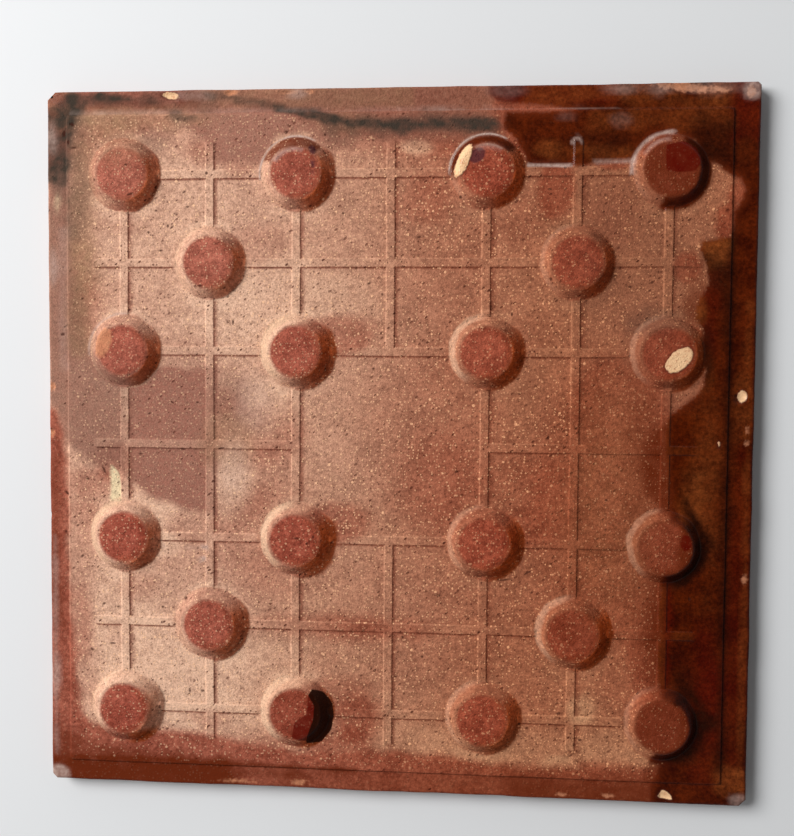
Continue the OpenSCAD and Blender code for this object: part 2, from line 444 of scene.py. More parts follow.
# thin orange-brown glaze that the clay shows through
THIN = [
    (oval(-26, -98, 5, 2.5), 2.5, 0.3), (oval(70, -5, 5, 24), 7, 0.3),
    (area((-101, -94), (74, -94.2), (74, -101), (-101, -101)), 1.2, 0.25),
    (area((-103, -93), (-50, -93), (-40, -103), (-103, -103)), 6, 0.9),
    (box(34, 76, -103, -93.5), 8, 0.6),
    (stroke(1.4, (-94, -92.8), (-60, -93.2), (-36, -93.6), (-10, -94)), 1.4, 0.75),
    (stroke(0.8, (-80, -96.4), (-50, -96.8), (-20, -96.2)), 1, 0.5),
    (area((-101, -2), (-97, -6), (-96, -55), (-101, -55)), 3, 0.42),
    (arc(7, 7.6, 10.6, -80, 20), 1.5, 0.4), (arc(3, 7.8, 9.8, 75, 145), 1.5, 0.6),
    (oval(84, 39, 4, 7), 4, 0.6),
    (area((-101, -84), (-92, -87), (-80, -89.5), (-60, -90.5), (-46, -91.5), (-46, -95), (-101, -95)),
        4, 0.55),
    (area((78, 9), (73, 4.5), (70, 0.5), (69, -6), (71.5, -12), (75, -17), (82, -22), (86, 9)),
        3.5, 0.75),
    (oval(80, -51, 10, 22), 10, 0.8), (beside(11, 7, -1, 4, 7), 4, 0.7),
    (beside(15, 7, -2, 4, 7), 4, 0.7), (area((73, -86), (72, -94), (80, -94), (80, -86)), 3, 0.6),
    (oval(-57, 97.8, 5, 2.6), 3, 0.5), (beside(3, 3.5, -0.5, 6, 7), 5, 0.55),
    (arc(1, 7.3, 10.3, 45, 158), 0.8, 0.75),
    (stroke(1.6, (-85, 95.6), (-75, 96.2), (-66, 95.6)), 2, 0.3), (oval(-96.5, 98.3, 2.4, 1.6), 2, 0.4),
]

AMBER = [
    (oval(44, 82, 5, 2.5), 3, 0.4), (box(36, 80, 94.5, 101), 4, 0.3),
    (oval(88.5, 97.5, 4, 3.5), 3, 0.5), (oval(83.5, -13, 3, 6), 4, 0.3),
    (oval(96.5, 12, 3, 10), 4, 0.25), (box(54, 92, 88, 94), 5, 0.25),
    (area((84, 57), (93, 57.5), (92.5, 51), (86.5, 49)), 2.5, 0.75), (oval(84.5, 38, 1.8, 3.6), 2, 0.6),
    (oval(87, -8, 3.5, 22), 6, 0.28), (oval(95.5, -93, 3.5, 4.5), 3, 0.45),
    (stroke(1.8, (98.2, 40), (98.4, -20), (98.2, -96)), 1.5, 0.22),
    (oval(60, 81, 7, 2.5), 3, 0.35),
]

BLACK = [
    (oval(87, 49, 4.5, 6), 3, 0.6), (oval(58, 81, 4, 3), 3, 0.4), (oval(30, 90, 3, 3), 3, 0.3),
    (beside(3, 4, -1.5, 4.5, 7), 6, 0.3), (oval(60, 85, 8.5, 2.8), 3.5, 0.5),
    (oval(96.5, 84, 3, 5), 4, 0.3), (oval(88, 38, 4, 8), 5, 0.15),
    (area((83, 90), (93, 90), (93.5, 78), (88, 77), (84, 77)), 4, 0.5),
    (beside(3, 9.5, 1, 3.4, 6), 3, 0.3), (beside(7, 9.8, -1, 2.6, 8), 3, 0.7),
    (area((81.5, -14), (85.5, -19), (88.5, -25), (88, -31.5), (84.5, -36), (79, -38.2), (82.5, -34),
        (85, -29), (85, -24), (82.8, -19)), 2.5, 0.92),
    # partly dark glaze, partly painted shade on the side of stud 11 away from the lamp
    (arc(11, 7.2, 11.8, -88, 50), 3, 0.75),
    (area((84, -66), (89, -71), (91, -77), (89, -83), (84, -88), (76, -88.6), (77, -86.6), (82, -84.6),
        (84.8, -80), (85, -74), (83.5, -69)), 3, 0.85),
    # the same on studs 15 and 3
    (arc(15, 7.2, 11.8, -100, 60), 4, 0.75), (arc(3, 7.2, 11.2, -80, 50), 4, 0.2),
    # the dark band along the step on the right, away from the lamp, is painted shade
    (oval(82, -66, 4, 5), 5, 0.5), (stroke(3, (92.6, 60), (92.8, 0), (92.4, -90)), 2.6, 0.55),
    (arc(2, 7.2, 10.3, 10, 60), 2, 0.4),
]

RED = [
    (oval(96.5, -50, 3, 45), 3, 0.25), (box(26, 62, 94.5, 101), 2, 0.5),
    (oval(88, -72, 5, 18), 7, 0.5), (box(92, 101, 84, 101), 3, 0.4),
    (area((84, 48), (84, 30), (89, 26), (90, 50)), 4, 0.4),
    (box(76.5, 78.5, -67, -37), 1.5, 0.5),
    # the reddish black of painted shade on the sides of studs 3, 11 and 15 away from the lamp
    (arc(3, 7.2, 9, -80, 10), 3, 0.4), (arc(11, 7.2, 11.8, -88, 50), 3, 0.4),
    (arc(15, 7.2, 11.8, -100, 60), 4, 0.4),
]

# crisp ones: each is a list of shapes
GLAZE = [
    area((26, 103), (26.5, 97.5), (29, 95.4), (40, 94.4), (50, 93), (42, 92.6), (31, 92.6), (30.5, 88),
        (33.5, 85.5), (36.5, 80.5), (37, 77.6), (50, 77.4), (56, 78.3), (62, 78.8), (66, 79.2),
        (70, 85), (76, 86.8), (82, 84), (84, 79.5), (86, 78.6), (88.5, 78), (90, 76), (92.3, 74.5),
        (95, 74.3), (96.2, 71), (95.2, 68), (93.2, 65), (93, 60), (92.3, 58.2), (84.6, 57.2),
        (84.2, 54), (86, 50.5), (87, 46.5), (85.5, 43), (83.4, 39), (83.2, 36), (85, 33.5), (85.6, 28),
        (86.6, 21.5), (85.6, 17.5), (84, 15), (80.5, 12), (77, 9.5), (75.8, 5), (76, 0), (76.9, -12),
        (77.5, -18), (83, -20.5), (84.6, -27), (83.5, -33), (80, -37), (75.8, -38.5), (74.6, -45),
        (75.4, -52), (74.4, -58), (75.4, -66), (81.5, -69), (84, -75), (83, -82), (79, -86.2),
        (76, -88.5), (74.5, -92.6), (73.4, -95.5), (74, -103), (103, -103), (103, 103)),
    arc(2, 7.4, 10.4, 40, 185), arc(3, 7.4, 10.9, -105, 70), arc(11, 7.2, 11.8, -95, 82),
    arc(15, 7.2, 11.8, -105, 92),
]

GLOSS_BLACK = [
    area((-22.2, -70), (-19, -71.2), (-16.6, -74.5), (-16, -78), (-17, -82.5), (-20, -86),
        (-24.2, -86.4), (-22.9, -82), (-21.6, -78), (-21.4, -74.5), (-23, -71.5)),
]

DARK_RED = [
    area((74.3, 82.6), (74.4, 75.6), (77, 75.2), (82.3, 75.4), (83.8, 78.5), (82.6, 81.8), (79, 83.6)),
    beside(11, 5.6, 1.6, 1.6, 2.4),
    area((-28, -84), (-27, -79.5), (-23.6, -77), (-23.2, -71.6), (-21.5, -71), (-20.5, -78),
        (-22, -86)),
]

CREAM = PALE_CHIPS + [
    beside(2, -6.6, 2.8, 4.8, 1.7, 68), oval(78.8, 24.4, 4.3, 2.6, 43), oval(90.4, 1.3, 0.45, 0.7),
]

OCHRE = OCHRE_CHIPS + [
    oval(-82.4, 28.4, 2.3, 4.4, -16), oval(-24, 98.9, 1.8, 0.5), oval(89, 98, 3, 0.9, -8),
    oval(97.3, 97.3, 1.2, 1.6), oval(-44.5, -98.6, 4, 0.5), oval(-26, -98.3, 2, 0.9),
    oval(49, -98.7, 1.6, 0.6), oval(62, -98.5, 1.3, 0.5), oval(98.2, 5.6, 0.5, 0.9),
    oval(98, 1.8, 0.5, 0.6), oval(98.3, -36, 0.6, 1),
]

PURPLE = [
    beside(1, 4.9, 6.2, 1, 1.6, 25), beside(1, 5.2, 2.4, 0.8, 1.5), beside(1, 4.9, 0, 0.7, 0.9),
    beside(2, -2.8, 4.2, 2.6, 1.9, 30),
]

# pale crust: thin raised lines and patches; the arcs on the lamp side of studs 1 to 4 and the thin lines
# along the step and along a rib are painted highlights
CRUST_AND_HIGHLIGHTS = [
    (stroke(1.2, (-98.6, -92), (-98.6, -28)), 2, 0.28),
    (stroke(2.2, (-95.5, 22), (-95.5, 60)), 3, 0.22), (oval(-98.5, 87, 1.6, 4), 2, 0.35),
    (oval(-27, 98.5, 3, 1.2), 1.5, 0.3), (oval(88, 98.5, 6, 1.5), 2, 0.2),
    (oval(-98, -98.5, 3, 2.5), 1.5, 0.6), (oval(98.5, -98.5, 3, 2), 1.5, 0.3),
    (oval(-98.5, -68, 1.6, 6), 2, 0.35), (oval(-98.5, 50, 1.6, 5), 2, 0.4),
    (oval(-58, 98.5, 5, 1.6), 2, 0.25), (oval(32, 98.5, 5, 1.5), 2, 0.12),
    (oval(62, 98.5, 4, 1.2), 2, 0.25), (oval(74, 98.5, 4, 1.5), 2, 0.25),
    (oval(98, 98, 2.5, 2.5), 2, 0.45), (oval(-45.5, -8, 4, 8), 6, 0.2), (oval(-40, 12, 5, 9), 6, 0.16),
    (stroke(0.7, (-66, -29.6), (-53, -30.2)), 0.7, 0.6), (oval(-54.5, -33.5, 1.2, 0.9), 0.8, 0.7),
    # painted highlights: arcs on the lamp side of studs 1 to 4, and a line along the upper side of a rib
    (arc(1, 10.3, 10.7, 62, 188), 0.5, 0.9), (arc(1, 6.4, 6.9, 70, 150), 0.7, 0.6),
    (arc(2, 10.35, 10.75, 60, 182), 0.5, 0.95), (arc(2, 6.7, 7.2, 55, 115), 0.7, 0.5),
    (arc(3, 10.1, 10.9, 85, 185), 0.9, 0.7), (arc(3, 7.8, 8.8, 95, 150), 1.2, 0.3),
    (arc(4, 10.3, 10.8, 85, 190), 0.7, 0.5), (stroke(0.7, (37.5, 77.9), (49, 77.7)), 0.8, 0.8),
    (stroke(0.7, (56, 78.4), (66, 78.9)), 1.2, 0.5),
    # painted highlights along the upper step
    (stroke(0.3, (-93, 93.6), (-40, 93.6), (30, 93.5)), 0.5, 0.35),
    (stroke(0.2, (30, 93.5), (62, 93.3)), 0.5, 0.25), (oval(47.2, 91, 2.3, 1.1), 1.4, 0.08),
    (oval(62.3, 90.2, 3, 1.9), 1.6, 0.08),
    # a painted highlight on the rounded end of a rib
    (stroke(0.7, (49.2, 84), (49.8, 85), (51, 85.2), (51.8, 84.5)), 0.8, 0.5),
]

# yellow stains
YELLOW = [
    (area((-81.2, -6.8), (-78.9, -9), (-78.4, -17.5), (-81.6, -17.5), (-81.6, -12)), 0.8, 0.95),
    (oval(-84, 69, 3, 2), 3, 0.2), (oval(-97, 69, 1, 3), 2, 0.4),
]

# dark marks: where, half length and half width, and turn where they are turned
MARKS = [
    (-83.4, -8.2, 1.5, 0.4, -62), (-88.2, -11, 0.6, 0.4), (-94.9, -15.2, 0.9, 0.35, -45),
    (-93.7, -16.5, 0.5, 0.4), (-86.4, -17, 0.7, 0.35, -60), (-77.9, -14.1, 0.5, 0.35),
    (-91.4, -24.7, 0.5, 0.3, 30), (-95.2, -26.6, 0.5, 0.5), (-90.1, -33.6, 0.8, 0.35, 45),
    (-83.6, -47.4, 0.7, 0.4, 30), (-79.4, -48.2, 0.4, 0.3), (-81.2, -59, 1, 0.3),
    (-87.3, -61, 1.1, 0.5, -30), (-59.3, -45.1, 0.6, 0.45, 10), (-66.2, -47.9, 0.45, 0.45),
    (-58.2, -72.2, 0.4, 0.8, 20), (-54.4, -72.2, 0.6, 0.45), (-51.1, -70.9, 0.45, 0.3),
    (-53, 76.4, 0.45, 0.45), (-59.6, 71.2, 0.6, 0.3, 30), (-58.6, 67, 0.6, 0.35, 10),
    (-67.8, 66, 0.45, 0.3), (-63.2, 61.2, 0.7, 0.3, 40), (-56, 62.8, 0.4, 0.3), (-70, 59.8, 0.35, 0.45),
    (-66.4, 54.7, 0.6, 0.25), (-89.6, 41, 0.5, 0.3, 30), (-45.4, 34.4, 0.3, 0.9),
    (-95.7, 30.7, 0.75, 0.7), (-30.3, 87.8, 0.75, 0.65), (-19.2, 86.8, 0.4, 0.4),
    (-75.6, 78.5, 0.4, 0.35), (-74.4, 70.3, 1, 0.35, 15), (-54.2, 44.6, 0.8, 0.4, 10),
    (-63.1, 11.4, 0.5, 0.25, -30), (-69.9, 8.2, 0.5, 0.25, 20), (-55.8, 11.5, 0.4, 0.25),
    (-72.6, -3.5, 0.6, 0.3), (-48.8, -1.6, 0.9, 0.35, 15), (-46.2, 0.6, 0.4, 0.25),
    (-60, -2, 0.7, 0.25), (-5.2, 21.5, 0.35, 0.35), (-6.6, 45.4, 0.6, 0.35, 20), (-2.8, 42.3, 0.3, 0.5),
    (-14, 65, 0.4, 0.35), (7.4, 58.3, 1, 0.5, 10), (12.4, 70.3, 0.4, 0.3), (18.9, 69.2, 0.45, 0.5),
    (43.4, 71.3, 0.6, 0.25), (43.9, 46.4, 0.5, 0.5), (65.7, 44.5, 0.5, 0.35), (33.5, 36.9, 0.3, 0.6),
    (60.2, -14.6, 0.45, 0.45), (44, 2.6, 0.35, 0.6), (18.4, -7.3, 0.6, 0.4, 40),
    (13.8, -42.6, 0.6, 0.3), (32.5, -37.6, 1.7, 0.25, 8), (38.8, -35.4, 1, 0.25, 30),
    (47.8, -75.3, 0.6, 0.45, 10), (3.6, -54.8, 0.5, 0.5), (9.2, -60.2, 0.45, 0.45),
    (83.5, -41.8, 0.5, 0.8, 10), (69.6, -39, 0.4, 0.3), (54, -82.6, 0.6, 0.4), (36.9, -78.6, 0.4, 0.5),
    (-64.3, 61.6, 0.3, 0.5), (-21.7, -26.2, 0.4, 0.6), (-26.6, -26.7, 0.9, 0.4),
    (-23.4, -28.1, 0.5, 0.4), (-67.1, -77.2, 0.35, 0.6), (-91.8, 84, 1.3, 0.45, 5),
    (-93.5, 85.5, 0.6, 0.9), (-92.2, 90.5, 1, 1.6, 20), (-95, 88, 0.6, 1.2), (-85, 74.5, 0.3, 0.5),
]

# hairlines left by the mould and in use
HAIRLINES = [
    ((44.6, 9.5), (44.3, 3), (43.9, -1)), ((43.3, -7.5), (42.9, -15)), ((41.4, -38), (41.5, -46)),
    ((38, -83), (37.4, -92), (36.9, -99.4)), ((-49.8, -84), (-49.9, -96)),
    ((42.3, -26.5), (42.5, -28)), ((-89.5, -54.5), (-88, -51), (-85.5, -49.6), (-81, -49.4)),
    ((60.5, 72), (58.8, 62)), ((57.5, 69), (59.5, 60)),
]


# ---- Paint: values that the clay's material reads at each point ----

# sides of a stud, in degrees: towards the lamp, where cream and painted light go, and away from it, where
# painted shade goes
LIT_SIDE = 165
LEE_SIDE = 338

# radius of the outer end of a stud's painted wall where nothing reaches further
WALL_FOOT = 10.45

# how far in or out from the border of a crisp shape is told, and how far out a mark is looked for
CRISP_REACH = 3.0
MARK_REACH = 3

# the soft stains and the crisp ones: shapes, seed of the noise in their borders, how ragged they are
SOFT = {"mauve": (MAUVE, 231, 0.5), "smoke": (SMOKE, 241, 0.8), "thin": (THIN, 251, 0.6),
        "amber": (AMBER, 261, 0.8), "black": (BLACK, 271, 0.6), "red": (RED, 281, 0.6),
        "crust_and_highlights": (CRUST_AND_HIGHLIGHTS, 291, 0.4), "yellow": (YELLOW, 301, 0.6), "olive": (OLIVE, 381, 0.5)}
CRISP = {"glaze": (GLAZE, 311, 0.4), "gloss": (GLOSS_BLACK, 321, 0.25), "dark_red": (DARK_RED, 331, 0.25),
         "cream": (CREAM, 341, 0.3), "ochre": (OCHRE, 351, 0.3), "purple": (PURPLE, 361, 0.3)}


def mask(x, y, stains, seed, ragged):
    """Strength from 0 to 1 of a list of soft stains."""
    left = np.ones_like(x)
    wander = ragged * cloud(x, y, 5, seed)
    for inside, border, strength in stains:
        left *= 1 - strength * smooth(-border / 2, border / 2, inside(x, y) + wander * min(border, 3))
    return 1 - left


def depth(x, y, shapes, seed, ragged):
    """How far inside the nearest of some crisp shapes a place is, at most CRISP_REACH either way."""
    deepest = np.full_like(x, -CRISP_REACH)
    for inside in shapes:
        deepest = np.maximum(deepest, inside(x, y))
    return np.clip(deepest + ragged * cloud(x, y, 3, seed), -CRISP_REACH, CRISP_REACH)


def marks(x, y):
    """1 in the dark marks and hairlines, falling to 0 just outside them."""
    shade_and_marks = np.zeros_like(x)
    for mx, my, a, b, *turn in MARKS:
        near = (np.abs(x - mx) < MARK_REACH) & (np.abs(y - my) < MARK_REACH)
        # it is painted a little smaller than its rings in the mesh
        inside = oval(mx, my, 0.85 * a, 0.8 * b, *turn)(x[near], y[near])
        shade_and_marks[near] = np.maximum(shade_and_marks[near], smooth(-0.25, 0.1, inside))
    for line in HAIRLINES:
        shade_and_marks = np.maximum(shade_and_marks, 0.62 * smooth(-0.25, 0.08, stroke(0, *line)(x, y)))
    return shade_and_marks


def towards(turn, side, low, high):
    """0 to 1 as a direction comes round to a side; low and high are cosines of the angle between."""
    return smooth(low, high, np.cos(turn - math.radians(side)))


def wall_film_and_light(stud, turn):
    """How much of the wash stayed on a stud's wall, in each direction from its axis: most towards the
    lamp and least away from it, partly real wash and partly painted light and shade.
    """
    film = np.clip(1.05 + 0.95 * np.cos(turn - math.radians(WASH_AND_LIGHT_FROM)), 0.06, 1.1)
    film = np.maximum(film, LEE_FILM.get(stud, 0))
    return np.maximum(film, UPPER_FILM.get(stud, 0) * towards(turn, UPPER_SIDE, 0.5, 0.9))


def stud_paint(x, y, wash_and_light):
    """The wash on and round the studs, the cream and painted light on their lamp side, the crescent of
    painted shade behind, glazed tops.
    """
    cream, shade_crescent, shade_and_marks, glaze = [np.zeros_like(x) for _ in range(4)]
    ragged = 0.35 * cloud(x, y, 3, 300) + 0.15 * cloud(x, y, 0.9, 306)
    drift = cloud(x, y, 5, 303)
    for k, (thick, tail, reach, top_wash, top_glaze) in enumerate(STUD_LOOKS):
        sx, sy = shifted(k)
        dx, dy = x - sx, y - sy
        turn = np.arctan2(dy, dx)
        r = np.hypot(dx, dy) + ragged
        near_wash = wash_and_light
        # a comet's tail with less wash, and a little more of it below and above
        missed = tail * smooth(-1.8, 1.8, oval(sx + 10, sy + 4, 12.5, 6, 12)(x, y) + drift)
        wash_and_light = wash_and_light * (1 - 0.68 * missed)
        below = towards(turn, 272, 0.5, 1.0) * smooth(14.5, 12.5, r)
        above = towards(turn, 90, 0.5, 1.0) * (1 - missed) * smooth(12.6, 11.6, r)
        wash_and_light = wash_and_light * (1 + 0.25 * below + 0.3 * above)
        # the wall and the top: the wall keeps more wash towards the lamp, partly painted light and shade
        toward_light = np.cos(turn - math.radians(LIT_SIDE))
        film = wall_film_and_light(k, turn) * (0.38 + 0.62 * min(1, 2.2 * thick)) * (1 - 0.85 * missed)
        wall = near_wash * film * smooth(6.5, 8.2 - 0.9 * toward_light, r) + top_wash * smooth(7.4, 6.6, r)
        outer = WALL_FOOT + (reach - WALL_FOOT) * towards(turn, LEE_SIDE, 0.2, 0.75)
        wash_and_light = wash_and_light + (wall - wash_and_light) * smooth(outer + 0.2, outer - 0.2, r)
        # the band of cream, partly painted light, lies a little up from the stud's axis
        band_r = r - np.sin(turn) * np.where(dy > 0, 0.6, 0.2)
        inner = 9.3 - 1.5 * thick - 0.25 * np.cos(turn - math.radians(190))
        band = smooth(inner - 0.2, inner + 0.5, band_r) * smooth(10.5, 10.0, band_r)
        cream = np.maximum(cream, min(1, 1.15 * thick) * smooth(0.1, 0.65, toward_light) * band)
        # painted shade: the crescent behind the stud, away from the lamp, and the edge of the top above
        # it
        shadow_side = towards(turn, LEE_SIDE, 0.3, 0.8) * smooth(outer + 0.45, outer + 0.1, r)
        top_edge = towards(turn, LEE_SIDE, -0.2, 0.5) * smooth(4.5, 7.0, r) * smooth(7.8, 7.0, r)
        shade_crescent = np.maximum(shade_crescent, np.maximum(shadow_side * smooth(7.0, 8.0, r), 0.25 * top_edge))
        shade_and_marks = np.maximum(shade_and_marks, np.maximum(0.58 * shadow_side * smooth(9.6, 10.6, r), 0.28 * top_edge))
        glaze = np.maximum(glaze, top_glaze * smooth(8.2, 7.2, r))
    return wash_and_light, cream, shade_crescent, shade_and_marks, glaze


def rib_top(x, y):
    """1 on the ribs, 0 off them, at a place on the tile."""
    return smooth(0.1, 0.3, rib_height(x - DIE_SHIFT[0], y - DIE_SHIFT[1]))


def field_wash_and_light(x, y, normals, off_studs):
    """The wash on the field with painted light and shade on slopes, and how far a place is on a rib or in
    the painted shadow behind one.
    """
    wash_and_light = 0.22 + 0.42 * smooth(50, -60, x)
    for inside, border, change in WASH_CHANGES:
        wash_and_light = wash_and_light + change * smooth(-border / 2, border / 2, inside(x, y) + 0.8 * cloud(x, y, 6, 211))
    wash_and_light = np.maximum(wash_and_light, 0)
    wash_and_light *= smooth(-1.6, 1.6, WASHED(x, y) + 0.9 * cloud(x, y, 4, 221))
    # the tops of the ribs hold more of it; a painted shadow lies in a strip behind each rib, and the
    # slopes of the ribs and the step are painted lighter towards the lamp and darker away from it
    light_x, light_y = heading(WASH_AND_LIGHT_FROM)
    on_rib = rib_top(x, y) * off_studs
    rib_shadow = rib_top(x + RIB_SHADOW * light_x, y + RIB_SHADOW * light_y) * off_studs * (1 - on_rib)
    wash_and_light = wash_and_light * (1 + 0.12 * on_rib) * (1 - 0.55 * rib_shadow)
    facing_light = normals[:, 0] * light_x + normals[:, 1] * light_y
    wash_and_light = wash_and_light * (1 - 0.75 * off_studs * smooth(0.12, 0.4, -facing_light))
    wash_and_light = wash_and_light + 0.14 * off_studs * smooth(0.12, 0.4, facing_light) * smooth(0, 0.1, wash_and_light)
    return wash_and_light, on_rib, rib_shadow


def paint(px, py, normals):
    """All values on the laying side."""
    studs_r = np.full_like(px, np.inf)
    for k in range(len(STUDS)):
        sx, sy = shifted(k)
        studs_r = np.minimum(studs_r, np.hypot(px - sx, py - sy))
    wash_and_light, on_rib, rib_shadow = field_wash_and_light(px, py, normals, smooth(10.6, 11.2, studs_r))
    wash_and_light, lit_side_cream, shade_crescent, shade_and_marks, top_glaze = stud_paint(px, py, wash_and_light)

    top = 1 - smooth(6.6, 7.4, studs_r)
    values = {name: mask(px, py, *stains) for name, stains in SOFT.items()}
    values.update({name: depth(px, py, *shapes) for name, shapes in CRISP.items()})
    # mauve fades on the ribs and the stud tops; mauve and olive fade in the painted shade of the
    # crescents
    values["mauve"] = values["mauve"] * (1 - 0.35 * on_rib) * (1 - 0.7 * top) * (1 - 0.8 * shade_crescent)
    values["olive"] = values["olive"] * (1 - 0.8 * shade_crescent)
    values["thin"] = np.maximum(values["thin"], top_glaze)
    values["amber"] = np.maximum(values["amber"], 0.12 * on_rib)
    # grog and pits show less on the rim, under smoke and where no wash lies
    grit = 1 - 0.8 * smooth(92, 93.5, np.maximum(np.abs(px), np.abs(py)))
    grit = grit * (1 - values["smoke"]) * (1 - 0.6 * values["olive"])
    values.update({
        "wash_and_light": wash_and_light,
        "cream_and_light": lit_side_cream,
        "shade_crescent": shade_crescent,
        # painted shade behind the studs and in the strip behind each rib
        "shade_and_marks": np.maximum(shade_and_marks, 0.18 * rib_shadow),
        "mark": marks(px, py),
        "top": top,
        "grit": grit * np.maximum(top, 0.55 + 0.45 * smooth(0, 0.1, wash_and_light)),
        "steep": smooth(0.03, 0.25, 1 - normals[:, 2]),
        "warm": smooth(-60, 60, px - 0.15 * py + 10 * cloud(px, py, 40, 371)) * (1 - 0.05 * top),
    })
    return values


# ---- Plan of the mesh: points and edges that the triangulation keeps ----

# distance in from the outline, and out from the edge of the field, of the loops along the rim
RIM_LOOPS = (0, 0.12, 0.3, 0.55, 0.9, 1.4, 2.2, 3.2, 4.4)
FIELD_LOOPS = (0.35, 0.0, -0.2, -0.45, -0.75, -1.2)

# radius and number of points of the rings of a stud, and how near to its axis the grid comes
STUD_RINGS = ((12.0, 56), (11.6, 64), (11.3, 64), (10.9, 64), (10.6, 64), (10.4, 64), (10.2, 64),
              (9.9, 64), (9.3, 64), (8.7, 64), (8.2, 64), (7.95, 64), (7.75, 64), (7.55, 64), (7.2, 64),
              (6.5, 48), (5.4, 40), (4.1, 32), (2.8, 22), (1.4, 12))
CLEAR_OF_RINGS = 12.4

# the least that a loop's corners are cut by
SMALLEST_CUT = 0.15

# length of the edges along the outline, the field's loops, the ribs and the lines of marks
OUTLINE_STEP = 0.75
LOOP_STEP = 1.0
RIB_STEP = 1.1
MARK_STEP = 0.9

# the grid over what is left: its step, how far in it starts, and how close it comes to other points
GRID_STEP = 1.2
GRID_INSET = 1.6
CLOSE = 0.8


class Plan:
    """Points and edges of the plan that the triangulation keeps."""

    def __init__(self):
        self.points = []
        self.edges = []

    def chain(self, points, closed=False):
        first = len(self.points)
        last = first + len(points) - 1
        self.points += points
        self.edges += [(i, i + 1) for i in range(first, last)]
        if closed:
            self.edges.append((last, first))

    def triangulate(self):
        """The points with those at crossings, the triangles, and where each point of the plan went."""
        points = [Vector(p) for p in self.points]
        coords, _, faces, origin, _, _ = delaunay_2d_cdt(points, self.edges, [], 1, 1e-4)
        went = {source: out for out, sources in enumerate(origin) for source in sources}
        return np.array([(c.x, c.y) for c in coords]), [tuple(f) for f in faces], went


def spread(start, stop, n):
    """Values from start to stop in n equal steps."""
    return [start + (stop - start) * i / n for i in range(n + 1)]


def outline(inset):
    """Points round the plan, counter-clockwise, at a distance in from the edge."""
    half = HALF - inset
    turns = []
    for sx, sy in ((1, -1), (1, 1), (-1, 1), (-1, -1)):
        cut = max(CORNERS[(sx, sy)] - inset * (2 - math.sqrt(2)), SMALLEST_CUT)
        a, b = (sx * half, sy * (half - cut)), (sx * (half - cut), sy * half)
        turns += [a, b] if sx * sy > 0 else [b, a]
    points = []
    for start, stop in zip(turns, turns[1:] + turns[:1]):
        n = max(1, round(math.dist(start, stop) / OUTLINE_STEP))
        points += list(zip(spread(start[0], stop[0], n), spread(start[1], stop[1], n)))[:-1]
    return points


def square_loop(half):
    t = spread(-half, half, round(2 * half / LOOP_STEP))[:-1]
    return ([(v, -half) for v in t] + [(half, v) for v in t]
            + [(-v, half) for v in t] + [(-half, -v) for v in t])


def clear_of_studs(x, y, radius):
    return all(math.hypot(x - sx, y - sy) > radius for sx, sy in STUDS)


def ring(cx, cy, a, b, n, turn=0, first=0):
    """Points round an oval."""
    c, s = heading(turn)
    angles = [2 * math.pi * (first + i) / n for i in range(n)]
    return [(cx + a * math.cos(t) * c - b * math.sin(t) * s,
             cy + a * math.cos(t) * s + b * math.sin(t) * c) for t in angles]


def beside_line(start, stop, offset):
    """Points along a line on the tile, moved sideways, put back to where the plan has them."""
    length = math.dist(start, stop)
    ux, uy = (stop[0] - start[0]) / length, (stop[1] - start[1]) / length
    n = max(2, round(length / MARK_STEP))
    return [(start[0] + ux * length * i / n - uy * offset - DIE_SHIFT[0],
             start[1] + uy * length * i / n + ux * offset - DIE_SHIFT[1]) for i in range(n + 1)]


def plan_rim(plan):
    for inset in RIM_LOOPS:
        plan.chain(outline(inset), closed=True)
    for offset in FIELD_LOOPS:
        plan.chain(square_loop(FIELD_HALF + offset), closed=True)


def plan_studs(plan):
    for sx, sy in STUDS:
        for r, n in STUD_RINGS:
            # each ring is turned a little against its neighbours, for even triangles
            plan.chain(ring(sx, sy, r, r, n, first=0.5 * (r * 7 % 2)), closed=True)
        plan.points.append((sx, sy))


def rib_lines():
    """Lines at the foot and the top of both sides of each rib, and along its middle."""
    foot, top = RIB_WIDTH / 2, RIB_WIDTH / 2 - RIB_SLOPE
    sides = [foot + 0.35, foot, foot - RIB_SLOPE / 2, top, top - 0.35]
    offsets = sides + [0] + [-v for v in reversed(sides)]
    for line, start, stop in rib_places():
        steps = spread(start, stop, round((stop - start) / RIB_STEP))
        for turned in (False, True):
            for offset in offsets:
                yield [(along, line + offset) if turned else (line + offset, along) for along in steps]


def plan_ribs(plan):
    """The lines along the ribs, cut where they meet a stud."""
    for line in rib_lines():
        for free, run in groupby(line, lambda point: clear_of_studs(*point, STUD_FOOT - 0.35)):
            if free:
                plan.chain(list(run))


def plan_marks(plan):
    """Rings round the dark marks and lines along the hairlines."""
    for mx, my, a, b, *turn in MARKS:
        x, y = mx - DIE_SHIFT[0], my - DIE_SHIFT[1]
        for grow, n in ((0.0, 8), (0.35, 10)):
            plan.chain(ring(x, y, a + grow, b + grow, n, *turn), closed=True)
        plan.points.append((x, y))
    for line in HAIRLINES:
        for start, stop in zip(line, line[1:]):
            for offset in (-0.35, 0, 0.35):
                plan.chain(beside_line(start, stop, offset))


def plan_field(plan):
    """A grid over what the rest leaves open."""
    taken = set((round(x / CLOSE), round(y / CLOSE)) for x, y in plan.points)
    half = FIELD_HALF - GRID_INSET
    steps = spread(-half, half, round(2 * half / GRID_STEP))
    for x in steps:
        for y in steps:
            if (round(x / CLOSE), round(y / CLOSE)) not in taken and clear_of_studs(x, y, CLEAR_OF_RINGS):
                plan.points.append((x, y))


# ---- Mesh of the tile ----

# how far down the side its loops lie, and the angles of those round the arris of the glazed face
SIDE_LOOPS = (0.12, 0.3, 0.5, 0.7, 0.88, 1.0)
ARRIS_LOOPS = (25, 50, 75, 90)

# the grid of the glazed face: how far in it starts, and its number of steps
FACE_INSET = 3
FACE_STEPS = 40


